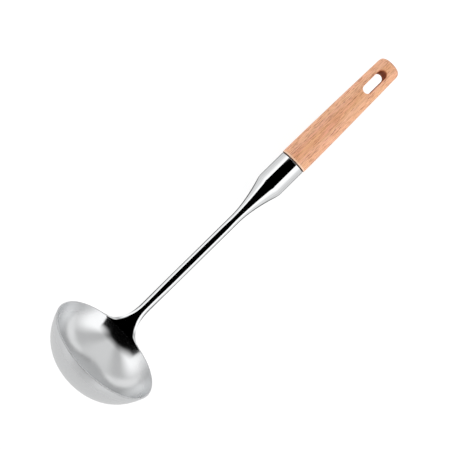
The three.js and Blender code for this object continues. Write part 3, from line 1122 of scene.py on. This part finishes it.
@dataclass
class WhiteTable:
    """The white table that the ladle lies on.

    The camera sees it white, with the ladle's soft shadow. In polished steel it shows a painted glow in
    strips along the ladle: painted shadow close by and under the bowl, lighter further out, and a painted
    highlight brightest beside the stem.
    """

    reach: float = 3.0
    steps: int = 9
    colour: str = "#EDEDED"
    # What the camera sees: an even glow, and the share of the lit colour that brings the shadow.
    camera_glow: float = 0.85
    camera_share: float = 0.3
    # What steel sees, a painted glow: painted shadow close to the ladle, plain beside it, a painted
    # highlight beside the stem, plain far out, and painted shade under the bowl.
    close_shadow_glow: float = 0.18
    near_glow: float = 0.8
    stem_highlight_glow: float = 1.2
    far_glow: float = 1.05
    bowl_shade_glow: float = 0.74
    # Half width of the close strip of painted shadow over the stem's height: at the foot, along the stem
    # and at the grip.
    foot_spread: float = 4.5
    stem_spread: float = 2.9
    grip_spread: float = 1.45
    foot_length: float = 27.0 * MM
    grip_span: Pair = (0.0, 35.0 * MM)
    least_height: float = 4.0 * MM
    # Soft borders: the close strip's in multiples of its half width, the others' in multiples of the
    # stem's height.
    close_span: Pair = (1.0, 1.3)
    stem_span: Pair = (6.0, 9.0)
    far_span: Pair = (7.0, 13.0)
    # Where strips end: the stem's along x, the bowl's along x from the stem's root, the far one's aside.
    stem_end: Pair = (-5.0 * MM, 20.0 * MM)
    bowl_end: Pair = (-30.0 * MM, -6.0 * MM)
    far_end: Pair = (200.0 * MM, 240.0 * MM)

    def steel_glow(self, tree: NodeTree, pose: LadlePose) -> Node:
        """Adds the painted brightness that steel sees at each point of the table: shadow and highlight.

        A point counts by |y| / h, its distance to the side over the height h of the stem's axis there.

        Args:
            tree: node tree of the table's material.
            pose: how the ladle lies.

        Returns:
            Node that gives the brightness.
        """
        place = add_node(tree, "TexCoord")
        part = add_node(tree, "SeparateXYZ", [place.outputs["Object"]])
        x, y = part.outputs["X"], part.outputs["Y"]
        past_root = add_node(tree, "Math", [x, pose.root_x], operation="SUBTRACT")
        rise = add_node(tree, "Math", [past_root, math.tan(pose.tilt)], operation="MULTIPLY")
        height = add_node(tree, "Math", [rise, self.least_height], operation="MAXIMUM")
        aside = add_node(tree, "Math", [y], operation="ABSOLUTE")
        ratio = add_node(tree, "Math", [aside, height], operation="DIVIDE")
        up_stem = add_node(tree, "MapRange", [x, *self.grip_span, self.stem_spread, self.grip_spread])
        spread = add_node(tree, "MapRange", [past_root, 0.0, self.foot_length, self.foot_spread, up_stem])
        strip_share = add_node(tree, "Math", [ratio, spread], operation="DIVIDE")
        by_stem = add_node(tree, "MapRange", [ratio, *self.stem_span, self.stem_highlight_glow, self.near_glow])
        near = add_node(tree, "MapRange", [x, *self.stem_end, by_stem, self.near_glow])
        # Painted shadow in a strip close to the ladle; the bright strip beside the stem is a painted
        # highlight.
        close = add_node(tree, "MapRange", [strip_share, *self.close_span, self.close_shadow_glow, near])
        gain = add_node(tree, "MapRange", [aside, *self.far_end, self.far_glow - self.near_glow, 0.0])
        far = add_node(tree, "MapRange", [ratio, *self.far_span, 0.0, gain])
        strips = add_node(tree, "Math", [close, far], operation="ADD")
        # Painted shade on the table under the bowl, as steel sees it.
        return add_node(tree, "MapRange", [past_root, *self.bowl_end, self.bowl_shade_glow, strips])

    def material(self, pose: LadlePose) -> Material:
        """Builds a matt white that glows to the camera and in steel, and not on what it lights.

        Args:
            pose: how the ladle lies.

        Returns:
            The material.
        """
        material, tree = new_material("white_table")
        path = add_node(tree, "LightPath")
        to_camera, to_steel = path.outputs["Is Camera Ray"], path.outputs["Is Glossy Ray"]
        rays = [to_steel, path.outputs["Is Transmission Ray"]]
        mirrored = add_node(tree, "Math", rays, operation="MAXIMUM")
        seen = add_node(tree, "Math", [to_camera, self.camera_glow], operation="MULTIPLY")
        glows = [mirrored, self.steel_glow(tree, pose), seen]
        strength = add_node(tree, "Math", glows, operation="MULTIPLY_ADD")
        lit = linear(self.colour)
        faint = (*(self.camera_share * channel for channel in lit[:3]), 1.0)
        tone = add_node(tree, "Mix", [to_camera, lit, faint], data_type="RGBA")
        unmirrored = add_node(tree, "Mix", [mirrored, tone, BLACK], data_type="RGBA")
        matt = add_node(tree, "BsdfDiffuse", {"Color": unmirrored})
        glow = add_node(tree, "Emission", {"Strength": strength})
        both = add_node(tree, "AddShader", [matt, glow])
        add_node(tree, "OutputMaterial", {"Surface": both})
        return material

    def build(self, pose: LadlePose) -> Object:
        """Lays the table as a flat grid.

        Args:
            pose: how the ladle lies.

        Returns:
            The table's top.
        """
        side = np.linspace(-self.reach, self.reach, self.steps)
        grid = np.stack([*np.meshgrid(side, side), np.zeros((self.steps, self.steps))], -1)
        i = number_grid(grid)
        quads = np.stack([i[:-1, :-1], i[:-1, 1:], i[1:, 1:], i[1:, :-1]], -1).reshape(-1, 4)
        floor = make_piece("floor", grid.reshape(-1, 3), quads, NO_TRIANGLES, self.material(pose))
        return floor


@dataclass
class LightTent:
    """White cloth all round, with a dark slot overhead along the ladle, through which the camera looks.

    Two angles give a direction's place at the slot: swing, sideways from the zenith about the ladle's
    length, and ahead, from upright towards the handle. A third, the bearing, runs round the horizon
    from the handle's side to the bowl's.
    """

    # Brightness of the cloth at the handle's end, in the corners beside it, at the sides and at the back.
    end_strength: float = 1.456
    corner_strength: float = 1.088
    side_strength: float = 2.4
    back_strength: float = 1.16
    # Bearings over which the corner, the side and the back come up.
    corner_span: Pair = (15 * DEGREE, 32 * DEGREE)
    side_span: Pair = (46 * DEGREE, 66 * DEGREE)
    back_span: Pair = (145 * DEGREE, 165 * DEGREE)
    # Share of the sides' gain at the horizon, and the span of the direction's z over which it gets whole.
    low_share: float = 0.42
    low_span: Pair = (0.0, 0.4)
    # Half width of the slot over the bowl and over the collar, and where one turns into the other.
    bowl_opening: float = 46 * DEGREE
    collar_opening: float = 43.5 * DEGREE
    opening_turn: Pair = (-5 * DEGREE, 3 * DEGREE)
    opening_shift: float = 6.5 * DEGREE
    flank_span: Pair = (0.975, 1.025)
    # The slot's soft round end over the handle: its start, its length, its fades as shares of that
    # length, and the most lengths that count.
    round_start: float = 3 * DEGREE
    round_length: float = 17 * DEGREE
    round_span: Pair = (0.5, 1.25)
    round_rise: float = 0.35
    most_lengths: float = 4.0
    # The slot's end behind the bowl.
    back_end: Pair = (-68 * DEGREE, -52 * DEGREE)
    # Share of the cloth's brightness that steel shows.
    steel_share: float = 0.55

    def cloth(self, tree: NodeTree, part: Node) -> Node:
        """Adds the slot's mask: the largest of its flanks, its round end and its back end.

        The round end is where sqrt(a² + b²) passes 1, with a the share ahead of the end's start and b
        the share of the slot's half width.

        Args:
            tree: node tree of the world.
            part: node that splits the direction into x, y and z.

        Returns:
            Node that gives 1 on the cloth and 0 in the slot.
        """
        swing = add_node(tree, "Math", [part.outputs["Y"], part.outputs["Z"]], operation="ARCTAN2")
        ahead = add_node(tree, "Math", [part.outputs["X"]], operation="ARCSINE")
        off_middle = add_node(tree, "Math", [swing, self.opening_shift], operation="SUBTRACT")
        aside = add_node(tree, "Math", [off_middle], operation="ABSOLUTE")
        widths = [ahead, *self.opening_turn, self.bowl_opening, self.collar_opening]
        half_width = add_node(tree, "MapRange", widths)
        across = add_node(tree, "Math", [aside, half_width], operation="DIVIDE")
        flank = add_node(tree, "MapRange", [across, *self.flank_span])
        last = self.round_start + self.most_lengths * self.round_length
        onwards = add_node(tree, "MapRange", [ahead, self.round_start, last, 0.0, self.most_lengths])
        both = add_node(tree, "CombineXYZ", [onwards, across])
        outwards = add_node(tree, "VectorMath", [both], operation="LENGTH")
        fade = add_node(tree, "MapRange", [outwards, *self.round_span])
        begun = add_node(tree, "MapRange", [onwards, 0.0, self.round_rise])
        round_end = add_node(tree, "Math", [fade, begun], operation="MULTIPLY")
        back_end = add_node(tree, "MapRange", [ahead, *self.back_end, 1.0, 0.0])
        ends = add_node(tree, "Math", [round_end, back_end], operation="MAXIMUM")
        return add_node(tree, "Math", [flank, ends], operation="MAXIMUM")

    def brightness(self, tree: NodeTree, part: Node) -> Node:
        """Adds the cloth's brightness by its bearing, less bright at the sides near the horizon.

        Args:
            tree: node tree of the world.
            part: node that splits the direction into x, y and z.

        Returns:
            Node that gives the brightness.
        """
        side = add_node(tree, "Math", [part.outputs["Y"]], operation="ABSOLUTE")
        bearing = add_node(tree, "Math", [side, part.outputs["X"]], operation="ARCTAN2")
        ends = [bearing, *self.corner_span, self.end_strength, self.corner_strength]
        end = add_node(tree, "MapRange", ends)
        gain = self.side_strength - self.corner_strength
        low = add_node(tree, "MapRange", [part.outputs["Z"], *self.low_span, self.low_share * gain, gain])
        wing = add_node(tree, "MapRange", [bearing, *self.side_span, 0.0, low])
        sides = add_node(tree, "Math", [end, wing], operation="ADD")
        back = add_node(tree, "MapRange", [bearing, *self.back_span, self.side_strength, self.back_strength])
        return add_node(tree, "Math", [sides, back], operation="MINIMUM")

    def build(self) -> World:
        """Lights the scene from the tent, while the camera sees plain white behind the ladle.

        Returns:
            The world.
        """
        world = bpy.data.worlds.new("light_tent")
        world.use_nodes = True
        tree = world.node_tree
        tree.nodes.clear()
        direction = add_node(tree, "TexCoord")
        part = add_node(tree, "SeparateXYZ", [direction.outputs["Generated"]])
        shares = [self.cloth(tree, part), self.brightness(tree, part)]
        light = add_node(tree, "Math", shares, operation="MULTIPLY")
        path = add_node(tree, "LightPath")
        dimmed = add_node(tree, "MapRange", [path.outputs["Is Glossy Ray"], 0.0, 1.0, 1.0, self.steel_share])
        shown = add_node(tree, "Math", [light, dimmed], operation="MULTIPLY")
        tent = add_node(tree, "Background", {"Color": WHITE, "Strength": shown})
        backdrop = add_node(tree, "Background", {"Color": WHITE, "Strength": 1.0})
        mixed = add_node(tree, "MixShader", [path.outputs["Is Camera Ray"], tent, backdrop])
        add_node(tree, "OutputWorld", {"Surface": mixed})
        bpy.context.scene.world = world
        return world


@dataclass
class OverheadCamera:
    """The camera in front of the ladle, turned so that the stem runs up to the right."""

    lens: float = 64.0
    sensor: float = 36.0
    distance: float = 615.2 * MM
    nearest: float = 10.0 * MM
    aim_x: float = 111.81 * MM
    aim_y: float = 2.14 * MM
    roll: float = 44.53 * DEGREE
    lean: float = 1.5 * DEGREE

    def build(self, pose: LadlePose) -> Object:
        """Sets the camera square to the stem but for a slight lean to the side.

        Args:
            pose: how the ladle lies.

        Returns:
            The camera.
        """
        aim = pose.place(np.array([[self.aim_x, self.aim_y, 0.0]]))[0]
        back = math.cos(self.lean) * pose.front + math.sin(self.lean) * SIDEWAYS
        down = math.sin(self.lean) * pose.front - math.cos(self.lean) * SIDEWAYS
        right = math.cos(self.roll) * pose.along + math.sin(self.roll) * down
        up = math.sin(self.roll) * pose.along - math.cos(self.roll) * down
        matrix = np.eye(4)
        matrix[:3, :3] = np.stack([right, up, back], -1)
        matrix[:3, 3] = aim + self.distance * back
        data = bpy.data.cameras.new("camera")
        data.lens = self.lens
        data.sensor_width = self.sensor
        data.clip_start = self.nearest
        camera = bpy.data.objects.new("camera", data)
        bpy.context.scene.collection.objects.link(camera)
        camera.matrix_world = Matrix(matrix.tolist())
        bpy.context.scene.camera = camera
        return camera


def main() -> None:
    """Builds the studio and the ladle's pieces in order."""
    logging.basicConfig(level=logging.INFO, format="%(message)s")
    bpy.context.scene.view_settings.view_transform = "Standard"
    bowl, stem = SteelBowl(), ForgedStem()
    ferrule = Ferrule(start=stem.length + BRAZED_GAP, root_radius=stem.radius)
    handle = BeechHandle(shoulder=ferrule.end + SHOULDER_GAP)
    pose = LadlePose.from_record(frame["record"], handle.butt)
    OverheadCamera().build(pose)
    WhiteTable().build(pose)
    LightTent().build()
    polished = PolishedSteel().material(pose)
    pieces = [
        bowl.build(pose, stem.rim_rise, SatinSteel()),
        stem.build(pose, bowl, polished),
        ferrule.build(pose, polished),
        handle.build(pose, OiledBeech()),
    ]
    bond = frame["nodes"]["epoxy_bond"]
    bond.data.materials.clear()
    bond.data.materials.append(CuredEpoxy().material())
    for piece in (*pieces, bond):
        log.info("%s: %d faces of %s", piece.name, len(piece.data.polygons), piece.active_material.name)


if __name__ == "__main__":
    main()
